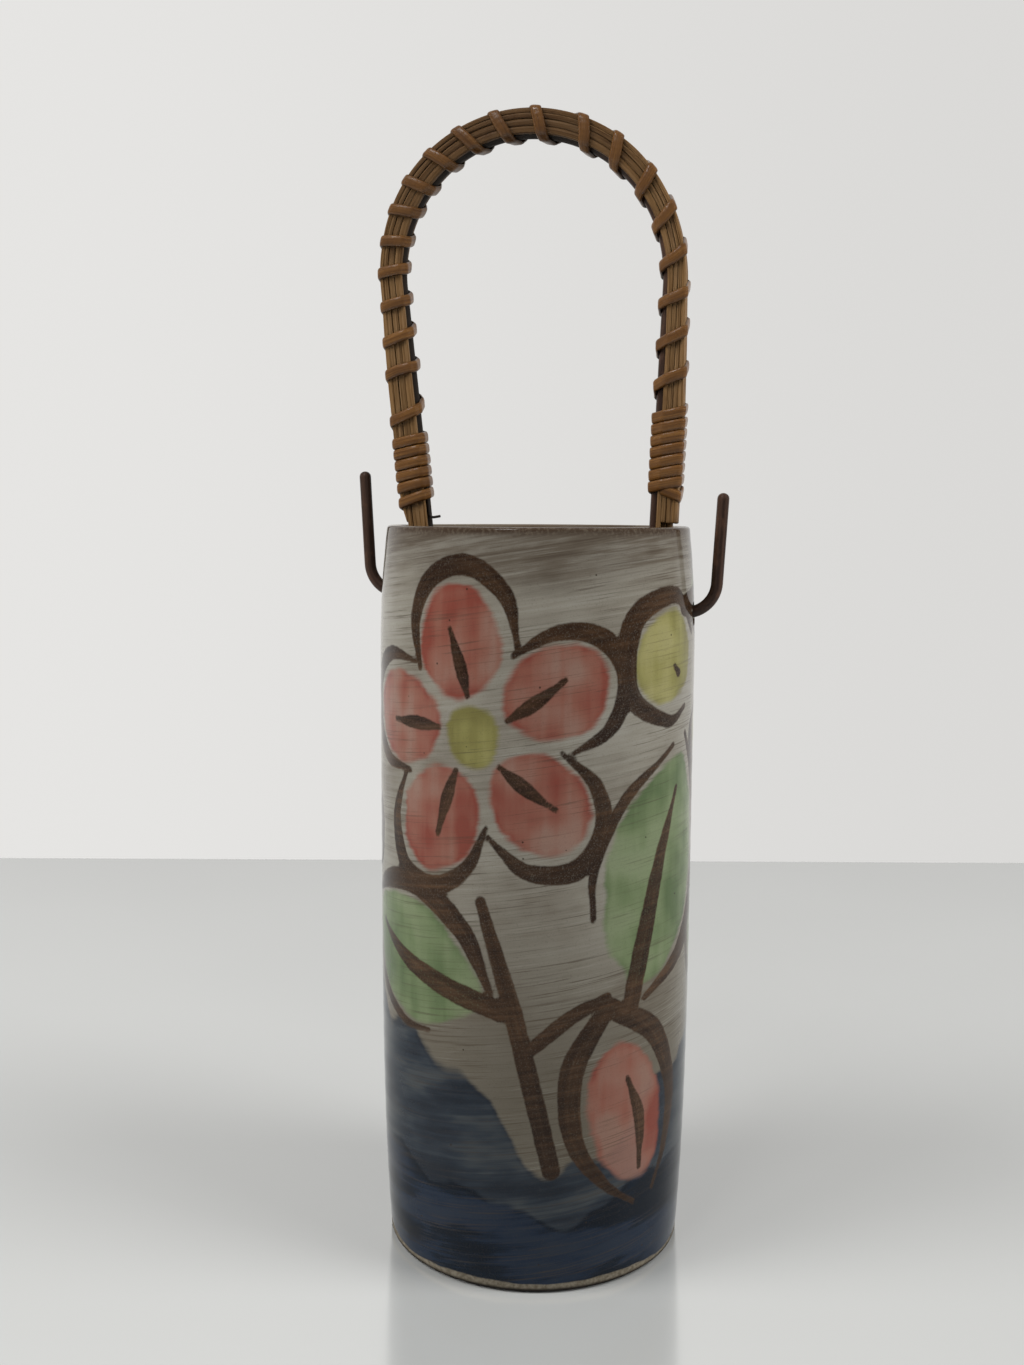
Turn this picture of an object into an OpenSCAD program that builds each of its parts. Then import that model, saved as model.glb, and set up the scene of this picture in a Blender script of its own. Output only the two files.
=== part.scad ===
// Ikebana vase: a thrown stoneware cylinder with a rattan-bound wire bail that hooks through two holes.
// The foot stands on z = 0 and the bail lies in the XZ plane. All lengths are in millimetres.

/* [Vase] */
// Height of the vase from foot to rim
vase_h = 180; // [150:1:220]
// Widest outside diameter
belly_d = 78; // [74:0.5:90]
// Outside diameter at the foot
foot_d = 73.8; // [68:0.2:74]
// Outside diameter at the rim
rim_d = 74.4; // [72:0.2:78]
// Height at which the wall reaches its widest
belly_z = 117; // [80:1:140]
// Depth below the rim at which the shoulder starts to draw in
shoulder_drop = 32; // [26:1:40]
// Wall thickness of the vessel
wall = 4.3; // [3.6:0.1:5]
// Wall thickness at the rim
rim_wall = 3.2; // [2.6:0.1:3.6]
// Rounding of the rim's two edges
rim_round = 0.8; // [0.4:0.1:1.2]
// Thickness of the floor above the foot recess
floor_t = 6.5; // [4:0.5:10]
// Rounding inside between floor and wall
floor_round = 10; // [4:0.5:16]
// Width of the foot ring
foot_ring_w = 6.5; // [4:0.5:10]
// Depth of the turned recess inside the foot ring
foot_recess = 2.2; // [1:0.1:4]
// Bevel round the outside of the foot
foot_bevel = 0.9; // [0.4:0.1:1.6]

/* [Holes] */
// Depth of the left hole's centre below the rim
left_hole_drop = 17; // [15:0.1:24]
// Depth of the right hole's centre below the rim
right_hole_drop = 20.7; // [15:0.1:24]
// Diameter of the two pierced holes
hole_d = 5.4; // [5:0.1:6.5]

/* [Bail] */
// Diameter of the bail wire
wire_d = 2.9; // [2.4:0.1:3.2]
// Distance between the wire's two legs at the height of the rim
leg_span = 57.1; // [55:0.1:58.4]
// Distance of the legs' middle to the right of the vase's axis
leg_shift = 0.2; // [0.1:0.05:0.4]
// Outward lean of the left leg in degrees
left_lean = 6.2; // [3:0.1:8]
// Outward lean of the right leg in degrees
right_lean = 2.3; // [1:0.1:5]
// Height of the strips' highest point above the rim
handle_rise = 98.4; // [80:0.2:120]
// Distance of the arch's crown to the left of the vase's axis
crown_shift = 3.4; // [1:0.1:5]
// Bend radius of the wire where it turns out to the holes
inner_bend_r = 4.5; // [3.5:0.1:5]
// Bend radius of the wire at the outside hooks
hook_bend_r = 7.5; // [6:0.1:8]
// Clear distance between the left hook and the vase at the height of its hole
left_hook_clear = 3; // [3:0.1:8]
// Clear distance between the right hook and the vase at the height of its hole
right_hook_clear = 3.5; // [3:0.1:8]
// Outward lean of the hooks in degrees
hook_lean = 3; // [1:0.1:6]
// Height of the left hook's tip above its hole
left_hook_h = 30.3; // [20:0.1:40]
// Height of the right hook's tip above its hole
right_hook_h = 28.8; // [20:0.1:40]
// Swing of the bail to each side in degrees
bail_swing = 7; // [2:0.5:8]

/* [Strips] */
// Width of one rattan strip, across the bail's plane
strip_w = 1.3; // [1:0.05:1.4]
// Thickness of one rattan strip, out from the wire
strip_t = 1.15; // [1:0.05:1.3]
// Space between neighbouring strips
strip_gap = 0.1; // [0.06:0.01:0.2]
// Bevel along a strip's edges
strip_bevel = 0.3; // [0.1:0.05:0.4]
// Rows of strips that run on into the mouth on the left leg, where the others end above the rim
left_rows_in = 3; // [1:1:3]
// Rows of strips whose front strip runs into the mouth on the right leg, where the others end above the rim
right_rows_in = 1; // [1:1:3]
// Height above the rim at which strips end on the left leg
left_stop = 2; // [0.8:0.1:4]
// Height above the rim at which strips end on the right leg
strip_stop = 0.85; // [0.8:0.05:4]
// Depth below the rim at which the strips end that run on into the mouth
strip_tuck = 5; // [2:0.5:8]
// Least space between a swinging strip and the inside of the rim
strip_room = 0.6; // [0.3:0.1:1.5]

/* [Cane] */
// Width of the wrapping cane
cane_w = 2.15; // [1.6:0.05:2.2]
// Thickness of the wrapping cane
cane_t = 0.65; // [0.5:0.05:1.2]
// Space between the cane and what it binds
cane_clear = 0.22; // [0.2:0.01:0.3]
// Turns in the close binding of the left leg
left_turns = 6; // [3:1:8]
// Open turns over the arch
open_turns = 20; // [14:1:24]
// Turns in the close binding of the right leg
right_turns = 7; // [3:1:8]
// Spacing of the turns in the close bindings
close_pitch = 2.72; // [2.65:0.01:3.2]
// Spacing of the loose first turn on the left leg
loose_pitch = 3.8; // [2.8:0.1:5]
// Height of the cane's lower end on the left leg above the rim
left_cane_rise = 5.2; // [4:0.1:12]
// Height of the cane's lower end on the right leg above the rim
right_cane_rise = 8.6; // [4:0.1:14]
// Growth of the open spacing from the left leg to the right one
open_growth = 0.12; // [0:0.01:0.2]

/* [Tie wire] */
// Diameter of the thin tie wire
tie_d = 0.64; // [0.4:0.02:0.7]
// Height above the rim at which its end turns out
tie_rise = 1.6; // [1.6:0.1:4]
// Length by which its end stands clear of the bail wire
tie_out = 2.2; // [1:0.1:4]
// Length of its run under the binding
tie_run = 18; // [8:0.5:20]

/* [Hidden] */
$fn = 64;

// Where two runs join, one enters the other by a lap and the other is fuller by a hair, so they join cleanly
lap = 0.1;
swell = 0.01;

// Vase outline
belly_r = belly_d / 2;
foot_r = foot_d / 2;
rim_r = rim_d / 2;
shoulder_z = vase_h - shoulder_drop;
foot_power = 4.2;
shoulder_power = 2;
floor_z = foot_recess + floor_t;
hole_r = hole_d / 2;

// Bail wire
wire_r = wire_d / 2;
left_leg = leg_span / 2 - leg_shift;
right_leg = leg_span / 2 + leg_shift;
rows = 4;
row_pitch = strip_t + strip_gap;
column_pitch = strip_w + strip_gap;
bundle_in = max(strip_gap, wire_r + strip_gap / 2 - row_pitch);
bundle_out = bundle_in + rows * row_pitch - strip_gap;
inner_column = column_pitch / 2;
outer_column = max(3 * column_pitch / 2, wire_r + strip_gap / 2 + strip_w / 2);
bundle_half = outer_column + strip_w / 2;
crown_rise = handle_rise - bundle_out;

// The arch is two arcs that meet level at the crown, and each of them touches its own leaning leg
crown = [-crown_shift, vase_h + crown_rise];
left_share = (1 + sin(left_lean)) / cos(left_lean);
right_share = (1 + sin(right_lean)) / cos(right_lean);
left_arch_r = (left_leg + crown_rise * tan(left_lean) + crown.x) / left_share;
right_arch_r = (right_leg + crown_rise * tan(right_lean) - crown.x) / right_share;
left_arch_c = crown - [0, left_arch_r];
right_arch_c = crown - [0, right_arch_r];
left_normal = 180 + left_lean;
right_normal = -right_lean;
left_foot = left_arch_c + left_arch_r * aim(left_normal);
right_foot = right_arch_c + right_arch_r * aim(right_normal);
crown_run = left_arch_r * (left_normal - 90) * PI / 180;
arch_len = crown_run + right_arch_r * (90 - right_normal) * PI / 180;

// The pivot line runs through the middle of the wall at both holes
left_hole_z = vase_h - left_hole_drop;
right_hole_z = vase_h - right_hole_drop;
left_hole = [-(outer_r(left_hole_z) - wall / 2), left_hole_z];
right_hole = [outer_r(right_hole_z) - wall / 2, right_hole_z];
pivot_dir = unit(right_hole - left_hole);
left_hook = [-(outer_r(left_hole_z) + left_hook_clear + wire_r), left_hole_z];
right_hook = [outer_r(right_hole_z) + right_hook_clear + wire_r, right_hole_z];
left_hook_dir = aim(90 + hook_lean);
right_hook_dir = aim(90 - hook_lean);

// Corners of the wire: from the left hook's tip to the left leg, then from the right leg to the right tip
left_corners = [
    left_hook + left_hook_dir * left_hook_h / cos(hook_lean),
    meet(left_hook, left_hook_dir, left_hole, pivot_dir),
    meet(left_foot, aim(90 + left_lean), left_hole, pivot_dir),
    left_foot + lap * aim(90 + left_lean)
];
right_corners = [
    right_foot,
    meet(right_foot, aim(90 - right_lean), right_hole, pivot_dir),
    meet(right_hook, right_hook_dir, right_hole, pivot_dir),
    right_hook + right_hook_dir * right_hook_h / cos(hook_lean)
];
left_radii = [0, hook_bend_r, inner_bend_r, 0];
right_radii = [0, inner_bend_r, hook_bend_r, 0];

// Places of the strips in the bundle: distance out from the wire's centre, depth and row
strip_places = [
    for (row = [0 : rows - 1], depth = [-outer_column, -inner_column, inner_column, outer_column])
        let (out = bundle_in + strip_t / 2 + row * row_pitch)
        if (out - strip_t / 2 > wire_r || abs(depth) > wire_r) [out, depth, row]
];
rim_swing = max(left_hole_drop, right_hole_drop) * sin(bail_swing);

// Tie wire: it lies in the groove between the wire and the front strips
tie_r = tie_d / 2;
tie_depth = wire_r + tie_r + strip_gap / 2;
tie_out_of_wire = -(tie_r + strip_gap);
tie_bend_r = 1.1;
tie_tilt = 6;

// Cane: circles round which it is stretched, as distance out, depth and radius
cane_circles = [
    for (side = [-1, 1]) each [
        [bundle_out - strip_bevel, side * (bundle_half - strip_bevel), strip_bevel],
        [bundle_in + strip_bevel, side * (bundle_half - strip_bevel), strip_bevel],
        [tie_out_of_wire, side * tie_depth, tie_r]
    ],
    [0, 0, wire_r]
];
cane_steps = 12;
cane_step = 360 / cane_steps;
cane_first = 285;
cane_tail = 2;
cane_edge = 0.55;
cane_crown = 0.28;
cane_profile = [
    [-cane_w / 2, 0],
    [cane_w / 2, 0],
    [cane_w / 2, cane_edge * cane_t],
    [cane_crown * cane_w, cane_t],
    [-cane_crown * cane_w, cane_t],
    [-cane_w / 2, cane_edge * cane_t]
];
cane_loop = [for (i = [0 : cane_steps]) stretched(cane_first + i * cane_step, cane_t / 2)];
cane_cumulative = [for (i = 0, sum = 0; i <= cane_steps;
    sum = sum + (i < cane_steps ? norm(cane_loop[i + 1] - cane_loop[i]) : 0), i = i + 1) sum];
cane_round = cane_cumulative[cane_steps];
cane_start = run_at_left(vase_h + left_cane_rise);
cane_end = run_at_right(vase_h + right_cane_rise);
close_left = loose_pitch + (left_turns - 1) * close_pitch;
close_right = right_turns * close_pitch;
open_len = cane_end - cane_start - close_left - close_right;
cane_turns = left_turns + open_turns + right_turns;
cane_last = cane_turns * cane_steps + cane_tail;

// Plane geometry
function aim(angle) = [cos(angle), sin(angle)];
function unit(v) = v / norm(v);
function cross2(a, b) = a.x * b.y - a.y * b.x;
function meet(p, d, q, e) = p + d * cross2(q - p, e) / cross2(d, e);
function passes_rim(leg, place) =
    let (
        across = leg + place.x + strip_t / 2,
        deep = abs(place.y) + strip_w / 2 + rim_swing
    )
    norm([across, deep]) + strip_room < inner_r(vase_h);
function strip_name(i) = str("handle_strip_", i < 9 ? "0" : "", i + 1);

// Outside radius of the vase at height z
function outer_r(z) =
    z < belly_z ? belly_r - (belly_r - foot_r) * pow((belly_z - z) / belly_z, foot_power)
    : z < shoulder_z ? belly_r
    : belly_r - (belly_r - rim_r) * pow((z - shoulder_z) / shoulder_drop, shoulder_power);

// Wall thickness of the vase at height z: it thins through the shoulder towards the rim
function wall_at(z) = z < shoulder_z ? wall : wall - (wall - rim_wall) * (z - shoulder_z) / shoulder_drop;
function inner_r(z) = outer_r(z) - wall_at(z);
function arc(c, r, from, to, steps) = [for (i = [0 : steps]) c + r * aim(from + (to - from) * i / steps)];

// The run of the bail: a point at a distance along it and a distance out from the wire's centre
function normal_at(run) =
    run < 0 ? left_normal
    : run < crown_run ? left_normal - (left_normal - 90) * run / crown_run
    : run < arch_len ? 90 - (90 - right_normal) * (run - crown_run) / (arch_len - crown_run)
    : right_normal;
function bail_point(run, out) =
    let (normal = aim(normal_at(run)))
    run < 0 ? left_foot + run * aim(90 + left_lean) + out * normal
    : run < crown_run ? left_arch_c + (left_arch_r + out) * normal
    : run < arch_len ? right_arch_c + (right_arch_r + out) * normal
    : right_foot - (run - arch_len) * aim(90 - right_lean) + out * normal;
function run_at_left(z) = -(left_foot.y - z) / cos(left_lean);
function run_at_right(z) = arch_len + (right_foot.y - z) / cos(right_lean);

// The cane's cross-section path: the point that lies furthest towards an angle, lifted off by a height
function stretched(angle, lift) =
    let (
        reach = [for (c = cane_circles) c.x * cos(angle) + c.y * sin(angle) + c.z],
        best = [for (i = [0 : len(reach) - 1]) if (reach[i] == max(reach)) cane_circles[i]][0]
    )
    [best.x, best.y] + (best.z + cane_clear + lift) * aim(angle);

// Distance along the bail that the cane has climbed after a number of turns
function climb(turns) =
    let (
        open_share = min(max((turns - left_turns) / open_turns, 0), 1),
        first = min(turns, 1) * loose_pitch,
        left = min(max(turns - 1, 0), left_turns - 1) * close_pitch,
        open = open_len * (open_share + open_growth * (open_share * open_share - open_share)),
        right = max(turns - left_turns - open_turns, 0) * close_pitch
    )
    first + left + open + right;
function turns_at(i) =
    let (whole = floor(i / cane_steps))
    whole + cane_cumulative[i - cane_steps * whole] / cane_round;

// A point of the cane's inner face and its outward direction, with the depth as the third value
function cane_point(i) =
    let (
        run = cane_start + climb(turns_at(i)),
        place = stretched(cane_first + i * cane_step, 0),
        flat = bail_point(run, place.x)
    )
    [flat.x, flat.y, place.y];
function cane_out(i) =
    let (
        run = cane_start + climb(turns_at(i)),
        angle = cane_first + i * cane_step,
        normal = aim(normal_at(run))
    )
    [cos(angle) * normal.x, cos(angle) * normal.y, sin(angle)];

// Both ends of the cane lie half-way along a flat side, so they run straight
cane_points = concat(
    [(cane_point(0) + cane_point(-1)) / 2],
    [for (i = [0 : cane_last]) cane_point(i)],
    [(cane_point(cane_last) + cane_point(cane_last + 1)) / 2]
);
cane_outs = concat(
    [unit(cane_out(0) + cane_out(-1))],
    [for (i = [0 : cane_last]) cane_out(i)],
    [unit(cane_out(cane_last) + cane_out(cane_last + 1))]
);
cane_rings = [
    for (i = [0 : len(cane_points) - 1])
        let (
            along = cane_points[min(i + 1, len(cane_points) - 1)] - cane_points[max(i - 1, 0)],
            side = unit(cross(along, cane_outs[i])),
            out = unit(cross(side, along))
        )
        [for (p = cane_profile) cane_points[i] + p.x * side + p.y * out]
];

// Least distance between the points of one turn and those of the next
cane_gap = min([
    for (i = [0 : len(cane_rings) - 1 - cane_steps], j = [i + cane_steps - 2 : i + cane_steps + 2])
        if (j < len(cane_rings))
            for (p = cane_rings[i], q = cane_rings[j]) norm(p - q)
]);
echo(least_gap_between_cane_turns = cane_gap);

// Sweeps in the bail's plane: the profile's x points out of the arch and its y is the depth
module line_sweep(start, normal, length) {
    translate(start) rotate(normal) rotate([90, 0, 0]) linear_extrude(length) children();
}

module arc_sweep(centre, radius, from, to) {
    translate(centre) rotate(from) rotate_extrude(angle = to - from) translate([radius, 0]) children();
}

// A straight piece of round wire between two points
module rod(p, q, r) {
    angle = atan2(q.y - p.y, q.x - p.x);
    translate(p) rotate(angle) rotate([0, 90, 0]) cylinder(h = norm(q - p), r = r);
}

// A round wire through corner points, each corner bent to its radius
module bent_wire(corners, radii, r) {
    last = len(corners) - 1;
    trims = [for (i = [0 : last]) i == 0 || i == last ? 0 : trim_at(corners, radii, i)];
    for (i = [0 : last - 1]) {
        d = unit(corners[i + 1] - corners[i]);
        from = trims[i] == 0 ? 0 : trims[i] - lap;
        to = trims[i + 1] == 0 ? 0 : trims[i + 1] - lap;
        rod(corners[i] + from * d, corners[i + 1] - to * d, r);
    }
    for (i = [1 : last - 1]) {
        d0 = unit(corners[i] - corners[i - 1]);
        d1 = unit(corners[i + 1] - corners[i]);
        turn = cross2(d0, d1) > 0 ? 1 : -1;
        centre = corners[i] - trims[i] * d0 + turn * radii[i] * [-d0.y, d0.x];
        from = atan2(d0.y, d0.x) - 90 * turn;
        sweep = turn * acos(d0 * d1);
        arc_sweep(centre, radii[i], min(from, from + sweep), max(from, from + sweep)) circle(r + swell);
    }
}

function trim_at(corners, radii, i) =
    let (d0 = unit(corners[i] - corners[i - 1]), d1 = unit(corners[i + 1] - corners[i]))
    radii[i] * tan(acos(d0 * d1) / 2);

// Stands the bail's plane upright, with its depth towards the front
module upright() {
    rotate([90, 0, 0]) children();
}

// The strip's section, a rectangle with bevelled edges
module strip_section(extra = 0) {
    h = strip_t / 2 + extra;
    w = strip_w / 2 + extra;
    b = strip_bevel;
    polygon([
        [-h, b - w], [b - h, -w], [h - b, -w], [h, b - w],
        [h, w - b], [h - b, w], [b - h, w], [-h, w - b]
    ]);
}

// The two arcs of the arch: the right one enters the left one and the right leg by a lap
module left_arch(out) {
    arc_sweep(left_arch_c, left_arch_r + out, 90, left_normal) children();
}

module right_arch(out) {
    more = lap / (right_arch_r + out) * 180 / PI;
    arc_sweep(right_arch_c, right_arch_r + out, right_normal - more, 90 + more) children();
}

module vase_body() {
    foot_steps = 14;
    shoulder_steps = 10;
    round_steps = 6;
    lip_z = vase_h - rim_round;
    lip_lean = atan(shoulder_power * (belly_r - rim_r) / shoulder_drop);
    shoulder_zs = [for (i = [0 : shoulder_steps]) shoulder_z + (lip_z - shoulder_z) * i / shoulder_steps];
    outside = concat(
        [[foot_r - foot_bevel, 0], [outer_r(foot_bevel), foot_bevel]],
        [for (i = [1 : foot_steps]) let (z = belly_z * i / foot_steps) [outer_r(z), z]],
        [for (z = shoulder_zs) [outer_r(z), z]]
    );
    lip = concat(
        arc([outer_r(lip_z) - rim_round, lip_z], rim_round, lip_lean, 90, round_steps),
        arc([inner_r(lip_z) + rim_round, lip_z], rim_round, 90, 180, round_steps)
    );
    floor_c = [inner_r(floor_z + floor_round) - floor_round, floor_z + floor_round];
    inside = concat(
        [for (i = [shoulder_steps - 1 : -1 : 0]) [inner_r(shoulder_zs[i]), shoulder_zs[i]]],
        [for (i = [foot_steps : -1 : 1])
            let (z = floor_c.y + (belly_z - floor_c.y) * i / foot_steps) [inner_r(z), z]],
        arc(floor_c, floor_round, 0, -90, round_steps)
    );
    under = [
        [0, floor_z],
        [0, foot_recess],
        [foot_r - foot_ring_w - foot_recess, foot_recess],
        [foot_r - foot_ring_w, 0]
    ];
    color("darkgray") difference() {
        rotate_extrude() polygon(concat(outside, lip, inside, under));
        upright() for (hole = [left_hole, right_hole])
            rod(hole - 2 * wall * pivot_dir, hole + 2 * wall * pivot_dir, hole_r);
    }
}

module bail_wire() {
    color("#3a2a20") upright() {
        bent_wire(left_corners, left_radii, wire_r);
        left_arch(0) circle(wire_r + swell);
        right_arch(0) circle(wire_r);
        bent_wire(right_corners, right_radii, wire_r + swell);
    }
}

// One strip of the bundle: up the left leg, over the arch and down the right leg
module handle_strip(i) {
    place = strip_places[i];
    out = place.x;
    edge = out + strip_t / 2;
    front = place.y > inner_column;
    left_in = place.z < left_rows_in && passes_rim(left_leg, place);
    right_in = (place.z < right_rows_in || !front) && passes_rim(right_leg, place);
    left_z = vase_h + (left_in ? -strip_tuck : left_stop);
    right_z = vase_h + (right_in ? -strip_tuck : strip_stop);
    left_len = (left_foot.y - edge * sin(left_lean) - left_z) / cos(left_lean);
    right_len = (right_foot.y - edge * sin(right_lean) - right_z) / cos(right_lean);
    color(i % 2 == 0 ? "#8a6a42" : "#7c5d38") upright() translate([0, 0, place.y]) {
        line_sweep(bail_point(-left_len, out), left_normal, left_len + lap) strip_section();
        left_arch(out) strip_section(swell);
        right_arch(out) strip_section();
        line_sweep(bail_point(arch_len, out), right_normal, right_len) strip_section(swell);
    }
}

module wrapping_cane() {
    sides = len(cane_profile);
    last = len(cane_rings) - 1;
    walls = [
        for (i = [0 : last - 1], k = [0 : sides - 1])
            let (a = i * sides + k, b = i * sides + (k + 1) % sides)
            each [[a, b, b + sides], [a, b + sides, a + sides]]
    ];
    caps = [
        for (k = [1 : sides - 2])
            each [[0, k + 1, k], [last * sides, last * sides + k, last * sides + k + 1]]
    ];
    color("#9a7444") upright()
        polyhedron([for (ring = cane_rings) each ring], concat(walls, caps));
}

// The tie wire runs down the groove of the left leg and turns out across the front of the bail wire
module tie_wire() {
    corner = bail_point(run_at_left(vase_h + tie_rise), tie_out_of_wire);
    up = aim(90 + left_lean);
    across = aim(tie_tilt);
    corners = [
        corner + tie_run * up,
        corner,
        corner + (wire_r + tie_out) * across
    ];
    color("#241c18") upright() translate([0, 0, tie_depth])
        bent_wire(corners, [0, tie_bend_r, 0], tie_r);
}

vase_body();
bail_wire();
for (i = [0 : len(strip_places) - 1])
    handle_strip(i);
wrapping_cane();
tie_wire();
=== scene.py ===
# Dresses an ikebana vase: a painted stoneware cylinder with a rattan-bound wire bail
import math

import bpy
import numpy as np
from mathutils import Matrix, Vector


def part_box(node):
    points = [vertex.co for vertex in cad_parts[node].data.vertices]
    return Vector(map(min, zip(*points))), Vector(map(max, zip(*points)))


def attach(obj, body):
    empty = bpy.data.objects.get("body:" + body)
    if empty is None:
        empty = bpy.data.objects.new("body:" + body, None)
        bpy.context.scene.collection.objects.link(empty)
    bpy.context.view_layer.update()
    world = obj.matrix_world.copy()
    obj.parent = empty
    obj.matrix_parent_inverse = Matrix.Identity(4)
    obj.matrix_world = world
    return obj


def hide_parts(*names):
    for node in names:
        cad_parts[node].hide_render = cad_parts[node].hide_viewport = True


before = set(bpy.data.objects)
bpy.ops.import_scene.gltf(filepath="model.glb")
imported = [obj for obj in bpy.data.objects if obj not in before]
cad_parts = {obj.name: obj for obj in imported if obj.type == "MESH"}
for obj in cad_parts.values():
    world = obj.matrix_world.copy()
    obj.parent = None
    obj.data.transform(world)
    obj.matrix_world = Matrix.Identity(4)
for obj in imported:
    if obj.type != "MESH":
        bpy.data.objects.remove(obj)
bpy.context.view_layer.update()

# Sizes are in millimetres and angles in degrees. Meshes, the camera and the lamps take metres
MM = 0.001
rng = np.random.default_rng(11)

# Vase
vase_low, vase_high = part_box("vase_body")
VASE_H = vase_high.z / MM
BELLY_R = (vase_high.x - vase_low.x) / 2 / MM
FOOT_R = 36.9
RIM_R = 37.2
BELLY_Z = 117
SHOULDER_DROP = 32
SHOULDER_Z = VASE_H - SHOULDER_DROP
FOOT_POWER = 4.2
SHOULDER_POWER = 2
WALL = 4.3
RIM_WALL = 3.2
RIM_ROUND = 0.8
FLOOR_T = 6.5
FLOOR_ROUND = 10
FOOT_RING_W = 6.5
FOOT_RECESS = 2.2
FOOT_BEVEL = 0.9
LEFT_HOLE_Z = VASE_H - 17
RIGHT_HOLE_Z = VASE_H - 20.7
HOLE_R = 2.7

# Bail
WIRE_R = 1.45
LEFT_LEG = 28.35
RIGHT_LEG = 28.95
LEFT_LEAN = 6.2
RIGHT_LEAN = 2.3
HANDLE_RISE = 98.4
CROWN_SHIFT = 3.4
INNER_BEND_R = 4.5
HOOK_BEND_R = 7.5
LEFT_HOOK_CLEAR = 3
RIGHT_HOOK_CLEAR = 3.5
HOOK_LEAN = 3
LEFT_HOOK_H = 30.3
RIGHT_HOOK_H = 28.8

# Strips
STRIP_W = 1.3
STRIP_T = 1.15
STRIP_GAP = 0.1
STRIP_ROWS = 4
LEFT_STOP = 0.55
RIGHT_STOP = 0.55
STRIP_TUCK = 5
LEFT_ROWS_IN = 3
RIGHT_ROWS_IN = 1

# Cane
CANE_W = 2.64
CANE_T = 0.64
CANE_LIFT = 0.08
CANE_FIRST = 285
LEFT_TURNS = 6
OPEN_TURNS = 20
RIGHT_TURNS = 7
TAIL_TURN = 0.42
CLOSE_PITCH = 2.72
LOOSE_PITCH = 3.8
LEFT_CANE_RISE = 5.2
RIGHT_CANE_RISE = 8.6
OPEN_GROWTH = 0.12

# Tie wire
TIE_R = 0.32
TIE_RISE = 1.6
TIE_OUT = 1.4
TIE_RUN = 18
TIE_BEND_R = 1.1
TIE_TILT = 10
TIE_SIDE = 131


# Plane geometry in the bail's plane, as (x, z)
def aim(angle):
    """Unit direction at an angle, or one row per angle."""
    a = np.radians(angle)
    return np.stack([np.cos(a), np.sin(a)], axis=-1)


def unit(v):
    return v / np.linalg.norm(v, axis=-1, keepdims=True)


def cross2(a, b):
    return a[0] * b[1] - a[1] * b[0]


def meet(p, d, q, e):
    """Where the line from p along d meets the line from q along e."""
    return p + d * cross2(q - p, e) / cross2(d, e)


def arc(centre, radius, first, last, steps):
    return np.asarray(centre) + radius * aim(np.linspace(first, last, steps + 1))


def standing(points, depth=0.0):
    """Points of the bail's plane as 3-D points, with a depth towards the front."""
    points = np.asarray(points, float)
    return np.stack([points[..., 0], np.broadcast_to(-depth, points[..., 0].shape), points[..., 1]], axis=-1)


def wavy(count, spacing, size):
    """Seeded wavy values about zero, one for each sample, with a bend every few samples."""
    knots = rng.normal(0, size, int(count / spacing) + 3)
    at = np.arange(count) / spacing
    i = at.astype(int)
    t = at - i
    t = t * t * (3 - 2 * t)
    return knots[i] * (1 - t) + knots[i + 1] * t


# Path of the bail: two legs and two arcs that meet at the crown. The run is 0 where the left arc starts
ROW_PITCH = STRIP_T + STRIP_GAP
COLUMN_PITCH = STRIP_W + STRIP_GAP
CORE = WIRE_R + STRIP_GAP / 2
BUNDLE_IN = max(STRIP_GAP, CORE - ROW_PITCH)
BUNDLE_OUT = BUNDLE_IN + STRIP_ROWS * ROW_PITCH - STRIP_GAP
INNER_COLUMN = COLUMN_PITCH / 2
OUTER_COLUMN = max(3 * COLUMN_PITCH / 2, CORE + STRIP_W / 2)
BUNDLE_HALF = OUTER_COLUMN + STRIP_W / 2
CROWN_RISE = HANDLE_RISE - BUNDLE_OUT
CROWN = np.array([-CROWN_SHIFT, VASE_H + CROWN_RISE])
left_a = math.radians(LEFT_LEAN)
right_a = math.radians(RIGHT_LEAN)
left_share = (1 + math.sin(left_a)) / math.cos(left_a)
right_share = (1 + math.sin(right_a)) / math.cos(right_a)
LEFT_R = (LEFT_LEG + CROWN_RISE * math.tan(left_a) + CROWN[0]) / left_share
RIGHT_R = (RIGHT_LEG + CROWN_RISE * math.tan(right_a) - CROWN[0]) / right_share
LEFT_C = CROWN - np.array([0, LEFT_R])
RIGHT_C = CROWN - np.array([0, RIGHT_R])
LEFT_NORMAL = 180 + LEFT_LEAN
RIGHT_NORMAL = -RIGHT_LEAN
LEFT_UP = aim(90 + LEFT_LEAN)
RIGHT_UP = aim(90 - RIGHT_LEAN)
LEFT_FOOT = LEFT_C + LEFT_R * aim(LEFT_NORMAL)
RIGHT_FOOT = RIGHT_C + RIGHT_R * aim(RIGHT_NORMAL)
CROWN_RUN = LEFT_R * math.radians(LEFT_NORMAL - 90)
ARCH_LEN = CROWN_RUN + RIGHT_R * math.radians(90 - RIGHT_NORMAL)

# The bundle is drawn together at the two shoulders and opens again over the crown and down the legs
DRAWN_RUN = (-25, -14, -4, 8, 24, 56, 78, 99, 110, 122, 140)
DRAWN_SHARE = (1.08, 1.0, 0.87, 0.84, 0.96, 0.99, 0.92, 0.70, 0.74, 0.9, 1.06)

# The front and back strips nearest the wire spread over it, most of all on the left leg
OVER_RUN = (-10, 20, 55, 90, 106, 125)
OVER_WIRE = (0.95, 1.05, 0.9, 0.7, 0.4, -0.2)
OVER_FROM = 3.0


def normal_angle(run):
    return np.interp(run, (0, CROWN_RUN, ARCH_LEN), (LEFT_NORMAL, 90, RIGHT_NORMAL))


def drawn_share(run, out):
    """The share of its thickness that the bundle keeps at a run. What lies beside the wire keeps it all."""
    return np.where(np.asarray(out) > CORE, np.interp(run, DRAWN_RUN, DRAWN_SHARE), 1.0)


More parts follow.
